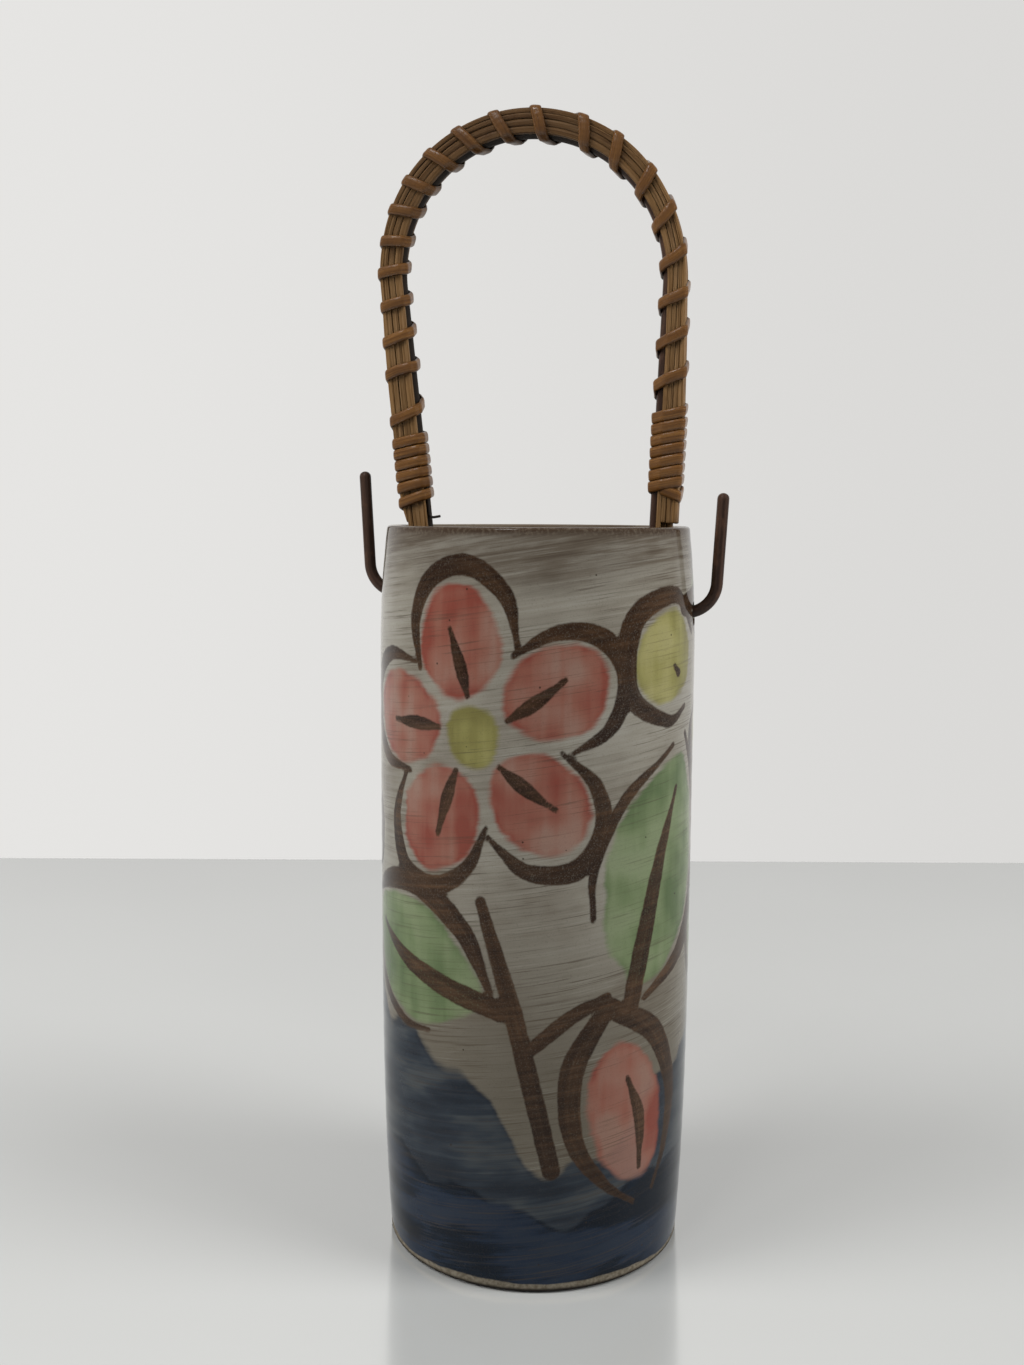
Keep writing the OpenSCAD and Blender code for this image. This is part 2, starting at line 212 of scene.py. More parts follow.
def drawn(run, out):
    """A distance out from the wire's centre after the bundle has been drawn together."""
    return np.minimum(out, CORE) + np.maximum(np.asarray(out) - CORE, 0) * drawn_share(run, out)


def over_wire(run):
    """How far the innermost front strip has spread over the wire at a run."""
    return np.interp(run, OVER_RUN, OVER_WIRE)


def bail_point(run, out):
    """Points of the bail's plane at a run along the bail and a distance out from the wire's centre."""
    run = np.asarray(run, float)
    normal = aim(normal_angle(run))
    where = run[..., None]
    on_left = LEFT_FOOT + np.minimum(where, 0) * LEFT_UP
    on_right = RIGHT_FOOT - np.maximum(where - ARCH_LEN, 0) * RIGHT_UP
    on_arch = np.where(where < CROWN_RUN, LEFT_C + LEFT_R * normal, RIGHT_C + RIGHT_R * normal)
    base = np.where(where < 0, on_left, np.where(where > ARCH_LEN, on_right, on_arch))
    return base + np.asarray(out, float)[..., None] * normal


def run_at_left(z):
    return -(LEFT_FOOT[1] - z) / math.cos(left_a)


def run_at_right(z):
    return ARCH_LEN + (RIGHT_FOOT[1] - z) / math.cos(right_a)


# Mesh building
def shade_smooth(mesh):
    mesh.polygons.foreach_set("use_smooth", [True] * len(mesh.polygons))
    mesh.update()


def add_object(name, verts, faces):
    """A smooth-shaded mesh object from points in millimetres."""
    mesh = bpy.data.meshes.new(name)
    mesh.from_pydata((np.asarray(verts) * MM).tolist(), [], faces)
    shade_smooth(mesh)
    made = bpy.data.objects.new(name, mesh)
    bpy.context.scene.collection.objects.link(made)
    return made


def set_field(made, name, values):
    """Stores one number, or one vector, for each vertex."""
    values = np.asarray(values, np.float32)
    if values.ndim == 1:
        layer = made.data.attributes.new(name, "FLOAT", "POINT")
        layer.data.foreach_set("value", values)
    else:
        layer = made.data.attributes.new(name, "FLOAT_VECTOR", "POINT")
        layer.data.foreach_set("vector", values.ravel())


def tube_faces(rings, sides):
    """Quads between rings, with a fan at each end from two last points."""
    faces = []
    for i in range(rings - 1):
        for k in range(sides):
            a = i * sides + k
            b = i * sides + (k + 1) % sides
            faces.append((a, b, b + sides, a + sides))
    first = rings * sides
    last = first + 1
    top = (rings - 1) * sides
    for k in range(sides):
        n = (k + 1) % sides
        faces.append((first, n, k))
        faces.append((last, top + k, top + n))
    return faces


def lengths(points):
    """The length along a line, at each of its points."""
    return np.concatenate([[0], np.cumsum(np.linalg.norm(np.diff(points, axis=0), axis=1))])


def at_lengths(points, wanted):
    """Points at the wanted lengths along a line."""
    length = lengths(points)
    return np.stack([np.interp(wanted, length, column) for column in points.T], axis=1)


def sweep(name, centres, side, out, section, dome):
    """A closed piece: a section of (side, out) points carried along the centres, with rounded ends.

    The vector field grain holds each vertex's place in the section and its length along the piece.
    """
    dome_steps = 4
    centres = np.asarray(centres, float)
    count = len(centres)
    section = np.broadcast_to(section, (count,) + np.shape(section)[-2:])
    along = unit(np.gradient(centres, axis=0))
    length = lengths(centres)
    shrink, reach = aim(90 * np.arange(1, dome_steps) / dome_steps).T
    index = np.clip(np.arange(1 - dome_steps, count + dome_steps - 1), 0, count - 1)
    scale = np.concatenate([shrink[::-1], np.ones(count), shrink])
    push = dome * np.concatenate([-reach[::-1], np.zeros(count), reach])
    flat = section[index] * scale[:, None, None]
    base = centres[index] + push[:, None] * along[index]
    verts = base[:, None] + flat[..., :1] * side[index][:, None] + flat[..., 1:] * out[index][:, None]
    tips = np.array([centres[0] - dome * along[0], centres[-1] + dome * along[-1]])
    sides = section.shape[1]
    made = add_object(name, np.concatenate([verts.reshape(-1, 3), tips]), tube_faces(len(index), sides))
    run = np.broadcast_to(length[index][:, None, None], flat[..., :1].shape)
    grain = np.concatenate([flat, run], axis=-1).reshape(-1, 3)
    ends = np.array([[0, 0, 0], [0, 0, length[-1]]])
    set_field(made, "grain", np.concatenate([grain, ends]))
    return made


def sweep_in_plane(name, line, depth, section, dome):
    """A swept piece along a line of the bail's plane, or of a plane in front of it."""
    centres = standing(line, depth)
    along = unit(np.gradient(line, axis=0))
    out = standing(np.stack([-along[:, 1], along[:, 0]], axis=1))
    side = np.broadcast_to([0.0, 1.0, 0.0], centres.shape)
    return sweep(name, centres, side, out, section, dome)


def bent_path(corners, radii, spacing):
    """Points along a wire through corner points, each inner corner bent to its radius."""
    corners = np.asarray(corners, float)
    points = [corners[0]]
    for before, corner, after, radius in zip(corners[:-2], corners[1:-1], corners[2:], radii):
        d0 = unit(corner - before)
        d1 = unit(after - corner)
        turn = math.acos(np.clip(d0 @ d1, -1, 1))
        bulge = math.copysign(1, cross2(d0, d1))
        start = corner - radius * math.tan(turn / 2) * d0
        centre = start + bulge * radius * np.array([-d0[1], d0[0]])
        first = math.degrees(math.atan2(*(start - centre)[::-1]))
        steps = max(6, int(radius * turn / spacing))
        points.extend(arc(centre, radius, first, first + bulge * math.degrees(turn), steps))
    points.append(corners[-1])
    return np.array(points)


def spread(points, spacing):
    """The same line with points at an even spacing."""
    whole = lengths(points)[-1]
    return at_lengths(points, np.linspace(0, whole, int(whole / spacing) + 1))


def oval(half_a, half_b, power, sides):
    """A closed section between an ellipse and a rectangle."""
    t = 2 * math.pi * (np.arange(sides) + 0.5) / sides
    c = np.cos(t)
    s = np.sin(t)
    k = (np.abs(c) ** power + np.abs(s) ** power) ** (-1 / power)
    return np.stack([half_a * k * c, half_b * k * s], axis=1)


# Vase
def outer_radius(z):
    low = np.clip((BELLY_Z - z) / BELLY_Z, 0, 1)
    high = np.clip((z - SHOULDER_Z) / SHOULDER_DROP, 0, 1)
    return BELLY_R - (BELLY_R - FOOT_R) * low ** FOOT_POWER - (BELLY_R - RIM_R) * high ** SHOULDER_POWER


def inner_radius(z):
    high = np.clip((z - SHOULDER_Z) / SHOULDER_DROP, 0, 1)
    return outer_radius(z) - WALL + (WALL - RIM_WALL) * high


def vase_profile():
    """The vase's outline as (radius, height), from under the foot over the rim to the floor inside."""
    wall_step = 1.0
    inside_step = 6
    pole_r = 4
    lip_z = VASE_H - RIM_ROUND
    lip_lean = math.degrees(math.atan(SHOULDER_POWER * (BELLY_R - RIM_R) / SHOULDER_DROP))
    ring_r = FOOT_R - FOOT_RING_W
    floor_z = FOOT_RECESS + FLOOR_T
    under = [(r, FOOT_RECESS) for r in np.linspace(pole_r, ring_r - FOOT_RECESS, 5)]
    ring = [(ring_r - 0.3, 0.25), (ring_r, 0.08), (ring_r + 0.4, 0), (FOOT_R - FOOT_BEVEL - 0.4, 0)]
    edge = [(FOOT_R - FOOT_BEVEL, 0.06), (outer_radius(FOOT_BEVEL) - 0.1, FOOT_BEVEL - 0.1)]
    wall_z = np.arange(FOOT_BEVEL + 0.2, lip_z, wall_step)
    outside = np.stack([outer_radius(wall_z), wall_z], axis=1)
    lip_out = arc((outer_radius(lip_z) - RIM_ROUND, lip_z), RIM_ROUND, lip_lean, 90, 7)
    lip_in = arc((inner_radius(lip_z) + RIM_ROUND, lip_z), RIM_ROUND, 90, 180, 7)
    bend_z = floor_z + FLOOR_ROUND
    bend_r = inner_radius(bend_z) - FLOOR_ROUND
    inside_z = np.arange(lip_z - 1, bend_z, -inside_step)
    inside = np.stack([inner_radius(inside_z), inside_z], axis=1)
    bend = arc((bend_r, bend_z), FLOOR_ROUND, 0, -90, 8)
    floor = [(r, floor_z) for r in np.linspace(bend_r - pole_r, pole_r, 6)]
    return np.concatenate([under, ring, edge, outside, lip_out, lip_in, inside, bend, floor])


def thrown_unevenness(theta, z):
    """How far the wall stays inside the true outline: a little out of round, with throwing rings."""
    oval_part = 0.03 * np.sin(2 * theta + 0.6) + 0.02 * np.sin(3 * theta - 1.0)
    rings = 0.02 * np.sin(2 * np.pi * z / 7.3 + theta) + 0.01 * np.sin(2 * np.pi * z / 3.1 - theta + 0.8)
    return 0.08 + oval_part + rings


def make_vase():
    around = 380
    profile = vase_profile()
    theta = 2 * np.pi * np.arange(around) / around
    r = profile[:, :1] - thrown_unevenness(theta[None], profile[:, 1:])
    z = np.broadcast_to(profile[:, 1:], r.shape)
    rings = np.stack([r * np.cos(theta), r * np.sin(theta), z], axis=-1)
    poles = np.array([[0, 0, profile[0, 1]], [0, 0, profile[-1, 1]]])
    faces = tube_faces(len(profile), around)
    vase = add_object("painted_vase", np.concatenate([rings.reshape(-1, 3), poles]), faces)
    for cutter in (hole_cutter(LEFT_HOLE), hole_cutter(RIGHT_HOLE)):
        cut = vase.modifiers.new("hole", "BOOLEAN")
        cut.operation = "DIFFERENCE"
        cut.solver = "EXACT"
        cut.object = cutter
        apply_modifiers(vase)
        bpy.data.objects.remove(cutter)
    return vase


def hole_cutter(hole):
    """A rod through one hole that widens softly where it leaves the wall on both sides."""
    half = WALL / 2
    reach = 6
    places = np.array([half - 0.8, half - 0.35, half, reach])
    widening = np.array([0, 0.1, 0.32, 1.0])
    run = np.concatenate([-places[::-1], places])
    radius = HOLE_R + np.concatenate([widening[::-1], widening])
    section = oval(1, 1, 2, 40) * radius[:, None, None]
    return sweep_in_plane("hole_cutter", hole + run[:, None] * PIVOT_DIR, 0.0, section, 0.3)


def apply_modifiers(made):
    """Keeps the mesh that the modifiers give, and drops the modifiers."""
    graph = bpy.context.evaluated_depsgraph_get()
    mesh = bpy.data.meshes.new_from_object(made.evaluated_get(graph))
    made.modifiers.clear()
    made.data = mesh


# The pivot line runs through the middle of the wall at both holes
LEFT_HOLE = np.array([-(outer_radius(LEFT_HOLE_Z) - WALL / 2), LEFT_HOLE_Z])
RIGHT_HOLE = np.array([outer_radius(RIGHT_HOLE_Z) - WALL / 2, RIGHT_HOLE_Z])
PIVOT_DIR = unit(RIGHT_HOLE - LEFT_HOLE)


# Painting: distances in millimetres on the unrolled wall, below zero inside a painted shape
FIELD_REACH = 6.0
LEAST_HALF_WIDTH = 0.75
UNROLLED = 2 * math.pi * BELLY_R


class Painting:
    """Distance fields of the brushwork on the wall. s runs to the right from the front, z up."""

    def __init__(self, verts):
        self.s = np.arctan2(verts[:, 0], -verts[:, 1]) * BELLY_R
        self.z = verts[:, 2]
        names = ("red", "yellow", "green", "blue", "deep", "brown")
        self.fields = {name: np.full(len(verts), FIELD_REACH) for name in names}
        self.brush_along = np.zeros(len(verts))
        self.brush_across = np.zeros(len(verts))

    def place(self, s, z):
        """The wall's points as seen from one place, across the seam at the back too."""
        ds = (self.s - s + UNROLLED / 2) % UNROLLED - UNROLLED / 2
        return ds, self.z - z

    def turned(self, centre, angle):
        ds, dz = self.place(*centre)
        c, s = aim(angle)
        return ds * c + dz * s, dz * c - ds * s

    def lay(self, field, distance):
        self.fields[field] = np.minimum(self.fields[field], distance)

    def ellipse(self, field, centre, half_u, half_v, angle):
        tiny = 1e-6
        u, v = self.turned(centre, angle)
        k = np.hypot(u / half_u, v / half_v)
        slope = np.hypot(u / half_u ** 2, v / half_v ** 2)
        self.lay(field, np.where(slope > tiny, k * (k - 1) / np.maximum(slope, tiny), -min(half_u, half_v)))

    def lens(self, field, centre, length, width, angle):
        u, v = self.turned(centre, angle)
        rho = ((length / 2) ** 2 + (width / 2) ** 2) / width
        shift = rho - width / 2
        self.lay(field, np.maximum(np.hypot(u, v + shift), np.hypot(u, v - shift)) - rho)

    def stroke(self, points):
        """A brush stroke through a few (s, z, half width) points, pointed or blunt as the widths say."""
        line = smooth_line(np.asarray(points, float), steps=7)
        ds, dz = self.place(line[0, 0], line[0, 1])
        line = line - np.array([line[0, 0], line[0, 1], 0])
        low = line[:, :2].min(axis=0) - 2 * FIELD_REACH
        high = line[:, :2].max(axis=0) + 2 * FIELD_REACH
        near = np.nonzero((ds > low[0]) & (ds < high[0]) & (dz > low[1]) & (dz < high[1]))[0]
        p = np.stack([ds[near], dz[near]], axis=1)
        best = np.full(len(near), np.inf)
        done = 0.0
        for a, b in zip(line[:-1], line[1:]):
            d = b[:2] - a[:2]
            size = np.linalg.norm(d)
            t = np.clip((p - a[:2]) @ d / size ** 2, 0, 1)
            gap = p - a[:2] - t[:, None] * d
            away = np.linalg.norm(gap, axis=1)
            value = away - (a[2] + t * (b[2] - a[2]))
            better = value < np.minimum(best, self.fields["brown"][near])
            best = np.minimum(best, value)
            chosen = near[better]
            self.brush_along[chosen] = done + t[better] * size
            self.brush_across[chosen] = (away * np.sign(d[0] * gap[:, 1] - d[1] * gap[:, 0]))[better]
            done += size
        self.fields["brown"][near] = np.minimum(self.fields["brown"][near], best)


def smooth_line(points, steps):
    """A smooth line through the points, with a number of steps between each two."""
    padded = np.concatenate([2 * points[:1] - points[1:2], points, 2 * points[-1:] - points[-2:-1]])
    t = np.linspace(0, 1, steps, endpoint=False)[:, None]
    parts = []
    for a, b, c, d in zip(padded[:-3], padded[1:-2], padded[2:-1], padded[3:]):
        parts.append(0.5 * (2 * b + (c - a) * t + (2 * a - 5 * b + 4 * c - d) * t ** 2
                            + (3 * b - a - 3 * c + d) * t ** 3))
    parts.append(points[-1:])
    line = np.concatenate(parts)
    line[:, 2] = np.maximum(line[:, 2], LEAST_HALF_WIDTH)
    return line


def motif_point(centre, angle, u, v):
    """A point of a motif, u along its own direction and v to the left of it."""
    c, s = aim(angle)
    return centre[0] + u * c - v * s, centre[1] + u * s + v * c


def motif_stroke(art, centre, angle, length, width, line):
    """A brush stroke of a motif through points given as shares of its length and width."""
    art.stroke([motif_point(centre, angle, u * length, v * width) + (w,) for u, v, w in line])


def paint_blossom(art, centre, radius, turn):
    """A five-petalled flower: red washes, a yellow heart and a bold brown brush line round each petal."""
    petals = 5
    for k in range(petals):
        a = turn + 360 / petals * k
        middle = motif_point(centre, a, 0.6 * radius, 0)
        art.ellipse("red", motif_point(middle, a, -1.0, 0.8), 0.35 * radius, 0.29 * radius, a)
        points = []
        for angle, half_w in ((-104, 0.5), (-62, 1.9), (-15, 2.5), (32, 2.4), (72, 1.8), (112, 0.5)):
            u = (0.36 * radius + 2.6) * math.cos(math.radians(angle))
            v = (0.30 * radius + 2.2) * math.sin(math.radians(angle))
            points.append(motif_point(middle, a, u, v) + (half_w,))
        art.stroke(points)
        vein = ((0.24, 0, 0.6), (0.42, 3, 1.7), (0.66, 6, 0.3))
        art.stroke([motif_point(centre, a + lean, u * radius, 0) + (w,) for u, lean, w in vein])
    art.ellipse("yellow", centre, 0.2 * radius, 0.18 * radius, turn)


def paint_leaf(art, centre, length, width, angle):
    """A green leaf with a brown midrib, a heavy brush line below and a light one above."""
    art.lens("green", motif_point(centre, angle, 0, 0.6), length, width, angle)
    rib = ((-0.6, 0.0, 2.6), (-0.28, 0.04, 2.7), (0.06, 0.06, 2.0), (0.34, 0.02, 0.3))
    below = ((-0.52, -0.1, 0.8), (-0.26, -0.48, 2.6), (0.08, -0.6, 3.1), (0.38, -0.34, 2.2), (0.57, 0.0, 0.4))
    above = ((0.5, 0.16, 0.3), (0.24, 0.5, 1.5), (-0.06, 0.58, 1.2), (-0.26, 0.48, 0.3))
    for line in (rib, below, above):
        motif_stroke(art, centre, angle, length, width, line)


def paint_berry(art, centre, radius, turn):
    """A yellow berry inside an open brown ring."""
    art.ellipse("yellow", centre, 0.9 * radius, 0.82 * radius, turn)
    ring = ((0, 0.5), (55, 2.0), (120, 2.9), (190, 2.6), (250, 1.6), (285, 0.4))
    art.stroke([motif_point(centre, turn + a, 1.14 * radius, 0) + (w,) for a, w in ring])
    dot = motif_point(centre, turn + 300, 0.45 * radius, 0)
    art.stroke([dot + (1.2,), motif_point(dot, turn + 120, 2.4, 0) + (0.3,)])


def paint_bud(art, centre, length, angle):
    """A closed red bud held by two brown sepals."""
    art.ellipse("red", motif_point(centre, angle, 0.1 * length, 0), 0.42 * length, 0.25 * length, angle)
    sepal = ((-0.52, 0.02, 2.4), (-0.26, 0.27, 3.0), (0.12, 0.35, 2.4), (0.42, 0.24, 1.4), (0.62, 0.08, 0.3))
    for side in (-1, 1):
        motif_stroke(art, centre, angle, length, side * length, sepal)
    fold = ((-0.1, 0.03, 0.5), (0.16, 0.06, 1.8), (0.44, 0.0, 0.3))
    motif_stroke(art, centre, angle, length, length, fold)


def paint_water(art):
    """A blue ground of uneven waves round the foot, with a deeper wash below."""
    turn = 2 * np.pi * art.s / UNROLLED
    waves = -17 * np.cos(2 * turn - 0.95) + 4 * np.cos(5 * turn + 1.2) + 2 * np.cos(11 * turn + 1.0)
    notches = 2.4 * np.abs(((art.s + 0.5 * art.z) / 8) % 2 - 1)
    art.lay("blue", 0.7 * (art.z - 50 - waves - notches))
    swell = 5 * np.cos(3 * turn + 2.2) + 2.2 * np.cos(7 * turn + 0.3)
    art.lay("deep", art.z - 23 - swell - notches)


def paint_spray(art):
    """Flowering stems all round the vase."""
    stems = (
        ((12, 31, 2.2), (7, 52, 2.3), (2, 72, 2.2), (-5, 95, 1.4)),
        ((6, 60, 1.6), (16, 68, 1.9), (25, 72, 1.4)),
        ((84, 36, 3.0), (91, 60, 2.7), (103, 84, 1.6)),
        ((-78, 40, 3.0), (-74, 66, 2.6), (-78, 92, 2.2), (-73, 114, 1.6)),
    )
    for stem in stems:
        art.stroke(stem)
    blossoms = (((-7, 133), 38, 98), ((110, 124), 36, 60))
    for centre, radius, turn in blossoms:
        paint_blossom(art, centre, radius, turn)
    leaves = (
        ((42, 100), 58, 35, 72), ((-26, 79), 46, 29, 160), ((75, 165), 40, 19, 8), ((73, 77), 44, 25, 118),
        ((117, 70), 42, 24, 25), ((-90, 88), 44, 24, 82), ((-94, 163), 40, 19, 172),
    )
    for centre, length, width, angle in leaves:
        paint_leaf(art, centre, length, width, angle)
    berries = (((43, 150), 13, 20), ((-54, 106), 9, 200), ((66, 130), 7.5, 120), ((-95, 135), 8, 60))
    for centre, radius, turn in berries:
        paint_berry(art, centre, radius, turn)
    paint_bud(art, (31, 47), 44, 284)
    paint_bud(art, (-69, 137), 36, 82)


# Handle pieces
def strip_places():
    """Each strip's row, distance out from the wire's centre and depth, in the order of the CAD nodes."""
    places = []
    for row in range(STRIP_ROWS):
        out = BUNDLE_IN + STRIP_T / 2 + row * ROW_PITCH
        for depth in (-OUTER_COLUMN, -INNER_COLUMN, INNER_COLUMN, OUTER_COLUMN):
            if out - STRIP_T / 2 > WIRE_R or abs(depth) > WIRE_R:
                places.append((row, out, depth))
    return places


def make_strip(name, row, out, depth):
    """One split rattan strip: up the left leg, over the arch and down the right leg."""
    spacing = 0.9
    dome = 0.3
    pared_len = 4.5
    pared_to = 0.2
    ragged = 0.35
    front = depth > INNER_COLUMN
    left_in = row < LEFT_ROWS_IN
    right_in = row < RIGHT_ROWS_IN or (row < STRIP_ROWS - 1 and not front)
    left_z = VASE_H + (-STRIP_TUCK if left_in else LEFT_STOP)
    right_z = VASE_H + (-STRIP_TUCK if right_in else RIGHT_STOP + rng.uniform(0, ragged))
    edge = out + STRIP_T / 2
    left = (LEFT_FOOT[1] - edge * math.sin(left_a) - left_z) / math.cos(left_a) - dome
    right = (RIGHT_FOOT[1] - edge * math.sin(right_a) - right_z) / math.cos(right_a) - dome
    count = int((left + ARCH_LEN + right) / spacing)
    run = np.linspace(-left, ARCH_LEN + right, count)
    pared = np.ones(count) if left_in else np.interp(run + left, (0, pared_len), (pared_to, 1))
    share = drawn_share(run, out) * pared
    place = drawn(run, out) - (1 - pared) * ROW_PITCH / 2
    if abs(depth) > INNER_COLUMN and out < OVER_FROM:
        place = place - over_wire(run) * (OVER_FROM - out) / (OVER_FROM - BUNDLE_IN)
        share = share * (1 + over_wire(run) / (OVER_FROM - BUNDLE_IN))
    centres = standing(bail_point(run, place + share * wavy(count, 16, 0.03)))
    centres[:, 1] = -depth + wavy(count, 14, 0.03)
    normal = standing(aim(normal_angle(run)))
    side = np.broadcast_to([0.0, -1.0, 0.0], centres.shape)
    width = 1 + wavy(count, 11, 0.02)
    thick = share * (1 + wavy(count, 9, 0.02))
    section = oval(COLUMN_PITCH / 2, ROW_PITCH / 2, rng.uniform(6, 9), 20)
    sections = section[None] * np.stack([width, thick], axis=1)[:, None]
    return sweep(name, centres, side, normal, sections, dome)


def cane_loop(points, over):
    """One turn of the cane round the bundle, as even points in its section and their outward directions."""
    corner = 0.5
    front_bulge = 0.42
    ridge = 0.03
    circles = [(0, 0, WIRE_R)]
    for depth in (-1, 1):
        circles.append((BUNDLE_OUT - corner, depth * (BUNDLE_HALF - corner), corner))
        circles.append((BUNDLE_IN - over + corner, depth * (BUNDLE_HALF - corner), corner))
        circles.append((TIE_PLACE[0], depth * TIE_PLACE[1], TIE_R))
    circles = np.array(circles)
    angles = CANE_FIRST + np.arange(0, 361, 1.5)
    ways = aim(angles)
    reach = ways @ circles[:, :2].T + circles[:, 2]
    best = circles[reach.argmax(axis=1)]
    line = best[:, :2] + (best[:, 2:] + CANE_LIFT) * ways
    even = at_lengths(line, lengths(line)[-1] * np.arange(points) / points)
    half = (BUNDLE_OUT + WIRE_R) / 2
    off_middle = (even[:, 0] - BUNDLE_OUT + half) / half
    on_side = np.abs(even[:, 1] / even[:, 1].max()) ** 3
    over_rows = np.cos(2 * np.pi * (even[:, 0] - BUNDLE_IN) / ROW_PITCH)
    bulge = on_side * (front_bulge * np.clip(1 - off_middle ** 2, 0, 1) - ridge * over_rows)
    even[:, 1] += bulge * np.sign(even[:, 1])
    tangent = np.roll(even, -1, axis=0) - np.roll(even, 1, axis=0)
    return even, unit(np.stack([tangent[:, 1], -tangent[:, 0]], axis=1))


def climb(turns):
    """Run that the cane has climbed after a number of turns."""
    open_len = CANE_END - CANE_START - LOOSE_PITCH - (LEFT_TURNS - 1 + RIGHT_TURNS) * CLOSE_PITCH
    share = np.clip((turns - LEFT_TURNS) / OPEN_TURNS, 0, 1)
    first = np.minimum(turns, 1) * LOOSE_PITCH
    left = np.clip(turns - 1, 0, LEFT_TURNS - 1) * CLOSE_PITCH
    middle = open_len * (share + OPEN_GROWTH * (share ** 2 - share))
    right = np.maximum(turns - LEFT_TURNS - OPEN_TURNS, 0) * CLOSE_PITCH
    return first + left + middle + right


TIE_PLACE = (WIRE_R + TIE_R + STRIP_GAP / 2) * aim(TIE_SIDE)
CANE_START = run_at_left(VASE_H + LEFT_CANE_RISE)
CANE_END = run_at_right(VASE_H + RIGHT_CANE_RISE)


def make_cane():
    """The one long cane: a loose turn, a close binding, open turns over the arch and a close binding."""
    per_turn = 60
    left_tilt = 0.03
    right_tilt = 0.09
    dome = 0.1
    sharp_from = 48
    right_from = LEFT_TURNS + OPEN_TURNS
    bound = right_from + RIGHT_TURNS
    count = int((bound + TAIL_TURN) * per_turn) + 1
    step = np.arange(count)
    turns = step / per_turn
    on_loop = step % per_turn
    open_share = np.clip(np.minimum(turns - LEFT_TURNS, right_from - turns), 0, 1)

    snug, snug_ways = cane_loop(per_turn, min(OVER_WIRE))
    full, full_ways = cane_loop(per_turn, max(OVER_WIRE))

    # The cane crosses the front steeply in the loose turn and the right binding, and flatly on the left leg
    front = np.hypot(snug[:, 0] - BUNDLE_OUT / 2, snug[:, 1] - BUNDLE_HALF).argmin() / per_turn
    flat_turns = LEFT_TURNS + np.array((0, 0.4, 6, 8))
    steep_turns = (0, 1, 1.6, *flat_turns, right_from - 0.5, right_from + 0.5)
    steep = np.interp(turns, steep_turns, (0.35, 0.3, 0, 0, -0.7, -0.6, 0, 0, 0.45))
    # How far the open turns, laid by hand, cross the front ahead of an even climb
    laid_turns = LEFT_TURNS + front + np.array((-0.7, 0, 1, 3, 5, 8, 10, 11, 14, 17, 19, 20))
    ahead = np.interp(turns, laid_turns, (0, 1.4, 5.3, 5.0, 2.9, -0.6, -2.5, -0.9, -0.2, -1.0, -1.9, 0))
    run = CANE_START + climb(turns) + ahead + open_share * wavy(count, per_turn * 0.8, 0.4)
    run = run + steep * np.sin(2 * np.pi * (turns - front))

    # The tail comes round the outer edge and slips up under the last turn
    past = np.maximum(turns - bound, 0)
    run = run + np.interp(past, (0, 0.1, 0.2, TAIL_TURN), (0, 1.0, 1.35, -1.6))
    lift = np.abs(wavy(count, per_turn / 3, 0.02)) - np.interp(past, (0, 0.2, TAIL_TURN), (0, 0, 0.4))

    fullness = ((over_wire(run) - min(OVER_WIRE)) / (max(OVER_WIRE) - min(OVER_WIRE)))[:, None]
    outward = unit(snug_ways[on_loop] * (1 - fullness) + full_ways[on_loop] * fullness)
    place = snug[on_loop] * (1 - fullness) + full[on_loop] * fullness + lift[:, None] * outward
    centres = standing(bail_point(run, drawn(run, place[:, 0])))
    centres[:, 1] = -place[:, 1]
    normal = aim(normal_angle(run))
    out = np.stack([outward[:, 0] * normal[:, 0], -outward[:, 1], outward[:, 0] * normal[:, 1]], axis=1)
    along = unit(np.gradient(centres, axis=0))
    side = unit(np.cross(along, out))
    out = unit(np.cross(side, along))
    width = 1 + 0.03 * open_share + wavy(count, per_turn * 0.7, 0.015)
    sections = cane_section()[None] * np.stack([width, np.ones(count)], axis=1)[:, None]
    tilt = np.where(turns < LEFT_TURNS + OPEN_TURNS / 2, left_tilt, right_tilt) * (1 - open_share)
    sections[..., 1] += np.maximum(tilt[:, None] * sections[..., 0], -0.5 * CANE_LIFT)
    cane = sweep("rattan_winding", centres, side, out, sections, dome)
    cane.data.set_sharp_from_angle(angle=math.radians(sharp_from))
    return cane


def cane_section():
    """The cane's section: a flat inner face and a crowned skin with rounded edges."""
    half = CANE_W / 2
    edge = 0.15
    crown_power = 3.2
    skin = []
    for x in (1.0, 0.96, 0.86, 0.66, 0.36, 0.0, -0.36, -0.66, -0.86, -0.96, -1.0):
        crown = math.sqrt(1 - abs(x) ** crown_power)
        skin.append((x * half, CANE_T * (edge + (1 - edge) * crown)))
    inner = [(-half, 0.0), (-0.4 * half, 0.0), (0.4 * half, 0.0), (half, 0.0)]
    return np.array(inner + skin)


def hook_path(way, hole, clear, height, foot, leg_up, dome, spacing):
    """One end of the bail wire: down its hook, in through its hole and up to the foot of its arc."""
    hook = np.array([way * (outer_radius(hole[1]) + clear + WIRE_R), hole[1]])
    hook_up = aim(90 - way * HOOK_LEAN)
    tip = hook + hook_up * (height / math.cos(math.radians(HOOK_LEAN)) - dome)
    outside = meet(hook, hook_up, hole, PIVOT_DIR)
    inside = meet(foot, leg_up, hole, PIVOT_DIR)
    return bent_path([tip, outside, inside, foot], [HOOK_BEND_R, INNER_BEND_R], spacing)


